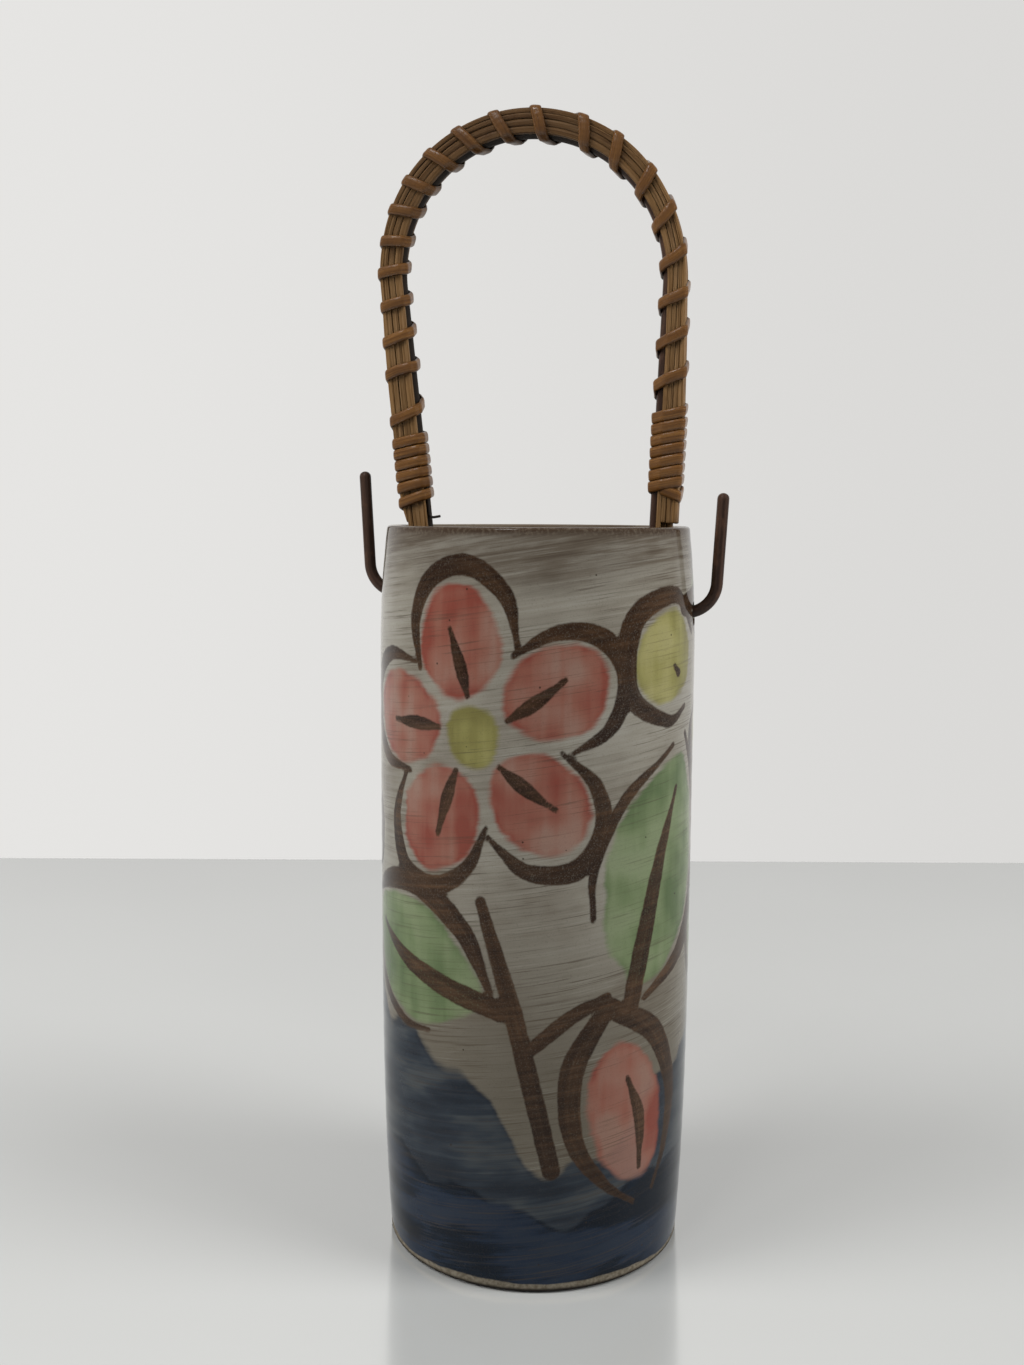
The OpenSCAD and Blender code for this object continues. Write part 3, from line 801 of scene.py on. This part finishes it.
def make_wire():
    """The bail wire with a hook at each end that passes out through its hole."""
    spacing = 0.7
    dome = 1.3
    left = hook_path(-1, LEFT_HOLE, LEFT_HOOK_CLEAR, LEFT_HOOK_H, LEFT_FOOT, LEFT_UP, dome, spacing)
    arch = bail_point(np.linspace(0, ARCH_LEN, 150), np.zeros(150))
    right = hook_path(1, RIGHT_HOLE, RIGHT_HOOK_CLEAR, RIGHT_HOOK_H, RIGHT_FOOT, RIGHT_UP, dome, spacing)
    line = spread(np.concatenate([left, arch[1:-1], right[::-1]]), spacing)
    thick = 1 - np.abs(wavy(len(line), 9, 0.006))
    section = oval(WIRE_R, WIRE_R, 2, 20) * thick[:, None, None]
    return sweep_in_plane("bail_wire_lacquered", line, 0.0, section, dome)


def make_tie():
    """The thin tie wire: it runs under the binding and its cut end turns out across the bail wire."""
    spacing = 0.3
    bend_spacing = 0.2
    dome = 0.1
    corner = bail_point(np.array(run_at_left(VASE_H + TIE_RISE)), TIE_PLACE[0])
    end = corner + (WIRE_R + TIE_OUT - dome) * aim(TIE_TILT)
    path = bent_path([corner + TIE_RUN * LEFT_UP, corner, end], [TIE_BEND_R], bend_spacing)
    section = oval(TIE_R, TIE_R, 2, 10)
    return sweep_in_plane("tie_wire_end", spread(path, spacing), TIE_PLACE[1], section, dome)


# Shader building
def tone(red, green, blue):
    """A colour given as it looks on screen, from 0 to 255, as the linear colour that shaders take."""
    c = np.array([red, green, blue]) / 255
    linear = np.where(c <= 0.04045, c / 12.92, ((c + 0.055) / 1.055) ** 2.4)
    return (*linear.tolist(), 1.0)


def feed(tree, node, inputs):
    """Gives a node's inputs plain values or other nodes' outputs. None leaves an input as it is."""
    for key, value in inputs.items():
        if isinstance(value, bpy.types.NodeSocket):
            tree.links.new(value, node.inputs[key])
        elif value is not None:
            node.inputs[key].default_value = value


def add(tree, kind, inputs, **settings):
    """A new node with its inputs and settings."""
    made = tree.nodes.new(kind)
    for key, value in settings.items():
        setattr(made, key, value)
    feed(tree, made, inputs)
    return made


def new_material(name):
    """A new material and its node tree."""
    material = bpy.data.materials.new(name)
    material.use_nodes = True
    return material, material.node_tree


def finished(material, colour, roughness, gloss=0.5, relief=None, **others):
    """The material, once its surface shader has been given its inputs."""
    tree = material.node_tree
    inputs = {"Base Color": colour, "Roughness": roughness, "Specular IOR Level": gloss, "Normal": relief}
    feed(tree, tree.nodes["Principled BSDF"], {**inputs, **others})
    return material


def noise(tree, vector, scale, detail=3.0, roughness=0.55):
    inputs = {"Vector": vector, "Scale": scale, "Detail": detail, "Roughness": roughness}
    return add(tree, "ShaderNodeTexNoise", inputs).outputs["Fac"]


def stretched(tree, vector, scale):
    return add(tree, "ShaderNodeMapping", {"Vector": vector, "Scale": scale}).outputs["Vector"]


def streaks(tree, vector, scale, detail=3.0, roughness=0.55):
    """Noise with its own scale in each direction."""
    return noise(tree, stretched(tree, vector, scale), 1.0, detail, roughness)


def fade(tree, value, low, high, to_low=0.0, to_high=1.0):
    """Turns a value smoothly from one level to another between two limits."""
    inputs = {"Value": value, "From Min": low, "From Max": high, "To Min": to_low, "To Max": to_high}
    return add(tree, "ShaderNodeMapRange", inputs, interpolation_type="SMOOTHSTEP").outputs["Result"]


def calc(tree, operation, a, b):
    return add(tree, "ShaderNodeMath", {0: a, 1: b}, operation=operation).outputs["Value"]


def times(tree, a, b):
    return calc(tree, "MULTIPLY", a, b)


def plus(tree, a, b):
    return calc(tree, "ADD", a, b)


def blend(tree, factor, a, b):
    return add(tree, "ShaderNodeMix", {0: factor, 6: a, 7: b}, data_type="RGBA").outputs[2]


def ramp(tree, factor, stops):
    """Colours by a factor, from stops of a position and a colour as it looks on screen."""
    made = add(tree, "ShaderNodeValToRGB", {"Fac": factor})
    elements = made.color_ramp.elements
    while len(elements) < len(stops):
        elements.new(1.0)
    for element, (position, colour) in zip(elements, stops):
        element.position = position
        element.color = tone(*colour)
    return made.outputs["Color"]


def field(tree, name):
    return add(tree, "ShaderNodeAttribute", {}, attribute_name=name).outputs["Fac"]


def grain_vector(tree):
    return add(tree, "ShaderNodeAttribute", {}, attribute_name="grain").outputs["Vector"]


def bump(tree, height, strength, distance, normal=None):
    inputs = {"Height": height, "Strength": strength, "Distance": distance, "Normal": normal}
    return add(tree, "ShaderNodeBump", inputs).outputs["Normal"]


def millimetres(tree):
    """The object's own coordinates in millimetres."""
    place = add(tree, "ShaderNodeTexCoord", {}).outputs["Object"]
    return stretched(tree, place, (1 / MM,) * 3)


def brushed_slip(tree, place):
    """Coordinates for brushed slip, in rings that rise to the right at the front, and the plain height."""
    rise = 0.16
    parts = add(tree, "ShaderNodeSeparateXYZ", {0: place}).outputs
    lift = calc(tree, "SUBTRACT", parts["Z"], times(tree, parts["X"], rise))
    slip = add(tree, "ShaderNodeCombineXYZ", {"X": parts["X"], "Y": parts["Y"], "Z": lift}).outputs[0]
    return slip, parts["Z"]


def glaze_material():
    """The painted outside: brushed grey slip, washes of colour and brown brush lines under a clear glaze."""
    material, tree = new_material("painted_glaze")
    place = millimetres(tree)
    slip, height = brushed_slip(tree, place)
    streak = streaks(tree, slip, (0.03, 0.03, 0.8), 6.0, 0.68)
    hairline = streaks(tree, slip, (0.05, 0.05, 2.4), 4.0, 0.6)
    cloud = noise(tree, place, 0.04)
    patch = streaks(tree, slip, (0.035, 0.035, 0.1))
    grit = noise(tree, place, 1.3, 2.0)

    def mixed(a, share, b):
        return plus(tree, times(tree, a, share), times(tree, b, 1 - share))

    def swing(value, size):
        return times(tree, calc(tree, "SUBTRACT", value, 0.5), size)

    def shaken(scale, size):
        return swing(noise(tree, place, scale, 2.0), size)

    def ragged_height(value, size):
        return plus(tree, height, times(tree, value, size))

    # Ground: pale slip, browner towards the foot and mottled below the rim
    ground = ramp(tree, mixed(streak, 0.4, cloud), [(0.37, (95, 88, 77)), (0.46, (112, 107, 97)),
                                                    (0.55, (122, 118, 108)), (0.65, (131, 128, 119))])
    ground = blend(tree, fade(tree, height, 110, 44, 0.0, 0.88), ground, tone(82, 76, 65))
    dry = fade(tree, patch, 0.45, 0.62)
    dark_hair = times(tree, fade(tree, hairline, 0.54, 0.66, 0.0, 0.5), dry)
    ground = blend(tree, dark_hair, ground, tone(74, 63, 50))
    pale_hair = times(tree, fade(tree, hairline, 0.45, 0.34, 0.0, 0.3), dry)
    ground = blend(tree, pale_hair, ground, tone(134, 132, 124))
    near_rim = fade(tree, ragged_height(cloud, 24), 175, 187, 0.0, 0.92)
    mottle = ramp(tree, mixed(patch, 0.5, streak), [(0.42, (62, 52, 42)), (0.5, (80, 72, 62)),
                                                    (0.58, (104, 99, 90))])
    ground = blend(tree, near_rim, ground, mottle)

    # Washes: edges feathered by the brush, soft changes of depth inside
    edge_shake = plus(tree, shaken(0.1, 4.0), swing(streak, 1.8))
    bristle = streaks(tree, place, (0.22, 0.22, 0.025), 3.0, 0.5)
    soft = mixed(bristle, 0.3, noise(tree, place, 0.06, 2.0))
    swipe = mixed(patch, 0.7, streak)

    def washed(colour, name, texture, spread_by, dark, middle, light):
        distance = plus(tree, field(tree, name), edge_shake)
        inside = fade(tree, distance, 0.5, -1.2)
        pooled = fade(tree, distance, -2.5, -0.4, 0.0, 0.05)
        shade = calc(tree, "SUBTRACT", texture, pooled)
        paint = ramp(tree, shade, [(0.49 - spread_by, dark), (0.49, middle), (0.49 + spread_by, light)])
        thin = fade(tree, texture, 0.48, 0.64, 1.0, 0.8)
        return blend(tree, times(tree, inside, thin), colour, paint)

    colour = washed(ground, "blue", swipe, 0.08, (23, 29, 37), (33, 40, 48), (45, 52, 58))
    colour = washed(colour, "deep", swipe, 0.05, (1, 10, 22), (4, 17, 31), (17, 30, 47))
    colour = washed(colour, "green", soft, 0.1, (72, 87, 57), (90, 103, 72), (103, 116, 84))
    colour = washed(colour, "yellow", soft, 0.1, (100, 95, 52), (115, 111, 65), (134, 129, 78))
    colour = washed(colour, "red", soft, 0.1, (109, 55, 45), (118, 76, 64), (124, 92, 80))

    # Brown brush lines: wet and smooth, thinner and paler where the brush ran dry
    brush = {"X": field(tree, "brush_across"), "Y": field(tree, "brush_along")}
    hairs = streaks(tree, add(tree, "ShaderNodeCombineXYZ", brush).outputs[0], (0.6, 0.03, 1.0), 2.0, 0.5)
    wobble = plus(tree, shaken(0.22, 0.6), shaken(1.2, 0.35))
    stroke = plus(tree, field(tree, "brown"), wobble)
    dust = noise(tree, place, 2.6, 3.0, 0.7)
    line = times(tree, fade(tree, stroke, 0.25, -0.3), fade(tree, hairs, 0.3, 0.42, 0.92, 1.0))
    line = times(tree, line, fade(tree, dust, 0.5, 0.72, 1.0, 0.72))
    wetness = mixed(hairs, 0.25, mixed(cloud, 0.5, streak))
    ink = ramp(tree, wetness, [(0.38, (70, 50, 33)), (0.47, (49, 33, 20)), (0.57, (31, 18, 9))])
    colour = blend(tree, line, colour, ink)
    scored = times(tree, fade(tree, hairline, 0.53, 0.66), fade(tree, patch, 0.38, 0.58, 0.15, 0.45))
    colour = blend(tree, scored, colour, tone(58, 49, 40))
    colour = blend(tree, fade(tree, dust, 0.52, 0.75, 0.0, 0.3), colour, tone(62, 55, 47))

    specks = add(tree, "ShaderNodeTexVoronoi", {"Vector": place, "Scale": 0.16}).outputs["Distance"]
    colour = blend(tree, fade(tree, specks, 0.05, 0.03, 0.0, 0.8), colour, tone(38, 29, 22))

    # Lip and bare foot
    lip = fade(tree, ragged_height(patch, 3.0), VASE_H - 1.2, VASE_H + 1.2)
    colour = blend(tree, lip, colour, ramp(tree, grit, [(0.45, (54, 42, 32)), (0.7, (78, 68, 57))]))
    bare = fade(tree, ragged_height(patch, 4.0), 4.8, 4.3)
    clay = ramp(tree, grit, [(0.35, (84, 77, 65)), (0.65, (114, 107, 94))])
    # Painted contact shadow: the clay darkens towards the very bottom of the foot, where it meets the floor.
    clay = blend(tree, fade(tree, height, 1.7, 0.9), clay, tone(30, 24, 19))
    colour = blend(tree, bare, colour, clay)

    clear = fade(tree, streak, 0.3, 0.7, 0.07, 0.14)
    roughness = add(tree, "ShaderNodeMix", {0: bare, 2: clear, 3: 0.8}).outputs[0]
    relief = bump(tree, grit, 0.12, 0.00006, bump(tree, streak, 0.15, 0.0001))
    return finished(material, colour, roughness, 0.22, relief)


def inside_material():
    """The glazed inside: grey brown with rings from the wheel."""
    material, tree = new_material("inside_glaze")
    place = millimetres(tree)
    rings = streaks(tree, place, (0.02, 0.02, 0.5), 4.0)
    cloud = noise(tree, place, 0.07, 4.0)
    colour = ramp(tree, rings, [(0.3, (78, 66, 54)), (0.5, (98, 88, 75)), (0.7, (116, 108, 97))])
    colour = blend(tree, fade(tree, cloud, 0.4, 0.7, 0.0, 0.5), colour, tone(80, 66, 52))
    roughness = fade(tree, cloud, 0.3, 0.7, 0.25, 0.4)
    return finished(material, colour, roughness, 0.32, bump(tree, rings, 0.4, 0.0002))


def clay_material():
    """The bare underside: gritty fired clay."""
    material, tree = new_material("bare_clay")
    grit = noise(tree, millimetres(tree), 1.6, 5.0, 0.65)
    colour = ramp(tree, grit, [(0.3, (84, 72, 58)), (0.5, (112, 100, 84)), (0.7, (132, 121, 104))])
    roughness = fade(tree, grit, 0.3, 0.7, 0.75, 0.92)
    return finished(material, colour, roughness, relief=bump(tree, grit, 0.6, 0.0002))


def crown_shade(tree, most):
    """How far the rattan is darkened with painted shade: most at the crown, and a little more to the left of
    it.
    """
    parts = add(tree, "ShaderNodeSeparateXYZ", {0: millimetres(tree)}).outputs
    leftward_height = calc(tree, "SUBTRACT", parts["Z"], times(tree, parts["X"], 0.25))
    return fade(tree, leftward_height, VASE_H + 60, VASE_H + 105, 0.0, most)


def strip_material(index):
    """Split rattan: long fibres, dark seams and small stains, a little different for each index."""
    material, tree = new_material(f"split_rattan_{index}")
    apart = (7.3 * index, 3.1 * index, 41.0 * index)
    moved = {"Vector": grain_vector(tree), "Location": apart}
    grain = add(tree, "ShaderNodeMapping", moved).outputs["Vector"]
    fibre = streaks(tree, grain, (3.4, 3.4, 0.05), 4.0, 0.6)
    stain = streaks(tree, grain, (0.5, 0.5, 0.12), 4.0, 0.6)
    light = 0.9 + 0.2 * ((index * 5) % 7) / 6
    middle = [light * level for level in (102, 76, 46)]
    colour = ramp(tree, fibre, [(0.3, (54, 33, 14)), (0.46, middle), (0.66, (121, 95, 66))])
    colour = blend(tree, fade(tree, stain, 0.52, 0.72, 0.0, 0.6), colour, tone(50, 31, 16))
    # Painted shade: the strip darkens towards the crown.
    colour = blend(tree, crown_shade(tree, 0.7), colour, tone(50, 31, 15))
    roughness = fade(tree, fibre, 0.3, 0.7, 0.62, 0.45)
    return finished(material, colour, roughness, 0.2, bump(tree, fibre, 0.6, 0.00012))


def cane_material():
    """The wrapping cane: a smooth honey-brown skin with fine lengthwise lines, and its edges darkened with
    painted shade where the turns meet.
    """
    material, tree = new_material("rattan_skin")
    grain = grain_vector(tree)
    parts = add(tree, "ShaderNodeSeparateXYZ", {0: grain}).outputs
    fibre = streaks(tree, grain, (4.2, 2.0, 0.07))
    patch = streaks(tree, grain, (0.25, 0.25, 0.09), 4.0, 0.6)
    colour = ramp(tree, fibre, [(0.3, (71, 44, 19)), (0.5, (93, 61, 28)), (0.7, (111, 78, 41))])
    colour = blend(tree, fade(tree, patch, 0.4, 0.7, 0.0, 0.6), colour, tone(68, 43, 21))
    # Painted shade: the cane darkens towards the crown.
    colour = blend(tree, crown_shade(tree, 0.4), colour, tone(60, 38, 19))
    # Painted shade in the grooves between turns: the cane's edges are darkened.
    away = add(tree, "ShaderNodeMath", {0: parts["X"]}, operation="ABSOLUTE").outputs["Value"]
    edge = fade(tree, away, 0.82 * CANE_W / 2, CANE_W / 2, 0.0, 0.45)
    colour = blend(tree, edge, colour, tone(40, 24, 10))
    roughness = fade(tree, patch, 0.3, 0.7, 0.24, 0.36)
    return finished(material, colour, roughness, 0.42, bump(tree, fibre, 0.35, 0.00008))


def wire_material():
    """Dark brown lacquered iron wire with drawing lines, worn patches and painted shade darkening it from the
    left leg to just past the crown.
    """
    material, tree = new_material("lacquered_wire")
    grain = grain_vector(tree)
    lines = streaks(tree, grain, (1.6, 1.6, 0.05), 3.0, 0.5)
    wear = streaks(tree, grain, (0.4, 0.4, 0.3), 5.0, 0.65)
    colour = ramp(tree, lines, [(0.35, (36, 22, 15)), (0.65, (58, 41, 32))])
    colour = blend(tree, fade(tree, wear, 0.52, 0.7, 0.0, 0.6), colour, tone(76, 52, 38))
    across = add(tree, "ShaderNodeSeparateXYZ", {0: millimetres(tree)}).outputs["X"]
    # Painted shade: the wire inside the arch is darkened, most on the left, and made a little rougher there.
    painted_inner_shade = times(tree, fade(tree, across, -39.5, -37.5), fade(tree, across, 5, 25, 0.8, 0.0))
    colour = blend(tree, painted_inner_shade, colour, tone(28, 26, 23))
    roughness = plus(tree, fade(tree, wear, 0.4, 0.7, 0.36, 0.5), times(tree, painted_inner_shade, 0.3))
    return finished(material, colour, roughness, 0.3, bump(tree, lines, 0.4, 0.0001))


def tie_material():
    """Blackened thin wire."""
    material, tree = new_material("black_tie_wire")
    wear = streaks(tree, grain_vector(tree), (1.5, 1.5, 0.4))
    colour = ramp(tree, wear, [(0.35, (30, 25, 22)), (0.65, (56, 50, 46))])
    return finished(material, colour, fade(tree, wear, 0.3, 0.7, 0.35, 0.5), Metallic=0.6)


# Putting the pieces together
def dress(made, body, slot, *nodes):
    """Lets a finished piece move with its body and stand for its CAD nodes."""
    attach(made, body)
    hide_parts(*nodes)


def places_of(items, key):
    """The places of a mesh's vertices or faces, in millimetres."""
    flat = np.empty(len(items) * 3)
    items.foreach_get(key, flat)
    return flat.reshape(-1, 3) / MM


def finish_vase():
    foot_edge = FOOT_R - FOOT_BEVEL - 0.3
    foot_top = FOOT_RECESS + 1
    vase = make_vase()
    mesh = vase.data
    art = Painting(places_of(mesh.vertices, "co"))
    paint_water(art)
    paint_spray(art)
    for name, values in art.fields.items():
        set_field(vase, name, np.clip(values, -FIELD_REACH, FIELD_REACH))
    set_field(vase, "brush_along", art.brush_along)
    set_field(vase, "brush_across", art.brush_across)
    for material in (glaze_material(), inside_material(), clay_material()):
        mesh.materials.append(material)
    x, y, height = places_of(mesh.polygons, "center").T
    radius = np.hypot(x, y)
    inside = (radius < outer_radius(height) - RIM_WALL / 2) & (height > foot_top)
    under = (radius < foot_edge) & (height <= foot_top)
    mesh.polygons.foreach_set("material_index", np.where(inside, 1, np.where(under, 2, 0)))
    shade_smooth(mesh)
    dress(vase, "vase", "stoneware", "vase_body")


def finish_bail():
    wire = make_wire()
    wire.data.materials.append(wire_material())
    dress(wire, "bail", "dark_wire", "bail_wire")
    shades = 5
    strip_finishes = [strip_material(i) for i in range(shades)]
    for i, (row, out, depth) in enumerate(strip_places()):
        strip = make_strip(f"rattan_strip_{i + 1:02d}", row, out, depth)
        strip.data.materials.append(strip_finishes[i * 2 % shades])
        dress(strip, "bail", "rattan_strip", f"handle_strip_{i + 1:02d}")
    cane = make_cane()
    cane.data.materials.append(cane_material())
    dress(cane, "bail", "rattan_cane", "wrapping_cane")
    tie = make_tie()
    tie.data.materials.append(tie_material())
    dress(tie, "bail", "tie_wire", "tie_wire")


# Stage: a pale sheet with a straight back edge, soft light and the camera
CAMERA_PLACE = np.array([69.3, -341.5, 183.9])
CAMERA_HEADING = np.array([-0.2164, 0.9763, 0.0])
CAMERA_RIGHT = np.array([CAMERA_HEADING[1], -CAMERA_HEADING[0], 0.0])
CAMERA_PITCH = 7.02
CAMERA_ROLL = 0.28
FOCAL_PIXELS = 1404
LONG_SIDE_PIXELS = 1365
SENSOR_MM = 36
FLOOR_BEHIND = 376
FLOOR_FRONT = 3000
FLOOR_HALF = 3000


def make_camera():
    data = bpy.data.cameras.new("camera")
    data.sensor_width = SENSOR_MM
    data.lens = SENSOR_MM * FOCAL_PIXELS / LONG_SIDE_PIXELS
    data.clip_start = 0.01
    camera = bpy.data.objects.new("camera", data)
    pitch = math.radians(CAMERA_PITCH)
    look = Vector((*(CAMERA_HEADING[:2] * math.cos(pitch)), -math.sin(pitch)))
    turn = look.to_track_quat("-Z", "Y").to_matrix().to_4x4()
    roll = Matrix.Rotation(math.radians(CAMERA_ROLL), 4, "Z")
    camera.matrix_world = Matrix.Translation(Vector(CAMERA_PLACE * MM)) @ turn @ roll
    bpy.context.scene.collection.objects.link(camera)
    bpy.context.scene.camera = camera


def make_floor():
    """The sheet that the vase stands on. Its back edge lies square to the camera's heading."""
    corners = []
    for ahead, right in ((FLOOR_BEHIND, -1), (-FLOOR_FRONT, -1), (-FLOOR_FRONT, 1), (FLOOR_BEHIND, 1)):
        corners.append(ahead * CAMERA_HEADING + right * FLOOR_HALF * CAMERA_RIGHT)
    floor = add_object("floor", corners, [(0, 1, 2, 3)])
    material, tree = new_material("pale_sheet")
    cloud = noise(tree, millimetres(tree), 0.004, 2.0)
    colour = ramp(tree, cloud, [(0.3, (164, 165, 163)), (0.7, (169, 170, 168))])
    floor.data.materials.append(finished(material, colour, 0.12, 1.0, IOR=2.2))


def add_lamp(name, place, size, power, mirrored):
    """A square soft lamp in metres and watts that points at the vase, seen in reflections or not."""
    target = Vector((0, 0, 0.12))
    data = bpy.data.lights.new(name, "AREA")
    data.size = size
    data.energy = power
    lamp = bpy.data.objects.new(name, data)
    lamp.location = place
    lamp.rotation_euler = (target - Vector(place)).to_track_quat("-Z", "Y").to_euler()
    lamp.visible_glossy = mirrored
    bpy.context.scene.collection.objects.link(lamp)


def make_light():
    """A surround paler behind than in front, soft lamps low and high on both sides, and one small lamp."""
    world = bpy.data.worlds.new("surround")
    bpy.context.scene.world = world
    world.use_nodes = True
    tree = world.node_tree
    way = add(tree, "ShaderNodeTexCoord", {}).outputs["Generated"]

    def towards(direction):
        made = add(tree, "ShaderNodeVectorMath", {0: way, 1: tuple(direction)}, operation="DOT_PRODUCT")
        return made.outputs["Value"]

    behind = towards(CAMERA_HEADING)
    to_right = fade(tree, towards(CAMERA_RIGHT), -0.4, 0.4)
    back = blend(tree, to_right, tone(230, 229, 227), tone(218, 217, 215))
    shown = blend(tree, fade(tree, behind, 0.3, 0.75), tone(150, 149, 147), back)
    filled = blend(tree, fade(tree, behind, -0.6, 0.6), tone(82, 81, 80), tone(116, 115, 114))
    rays = add(tree, "ShaderNodeLightPath", {}).outputs
    seen = plus(tree, rays["Is Camera Ray"], rays["Is Glossy Ray"])
    seen = calc(tree, "MAXIMUM", seen, rays["Is Transmission Ray"])
    feed(tree, tree.nodes["Background"], {"Color": blend(tree, seen, filled, shown)})
    add_lamp("soft_lamp_left", (-1.19, -0.62, 0.62), 0.7, 16, False)
    add_lamp("soft_lamp_right", (1.35, -0.06, 0.62), 0.7, 18, False)
    add_lamp("high_lamp_left", (-0.63, -0.49, 1.15), 0.5, 9, False)
    add_lamp("high_lamp_right", (0.78, -0.17, 1.15), 0.5, 9, False)
    add_lamp("small_lamp_above", (-0.2, -0.6, 0.95), 0.2, 2.0, True)


finish_vase()
finish_bail()
make_camera()
make_floor()
make_light()
bpy.context.scene.view_settings.view_transform = "Standard"
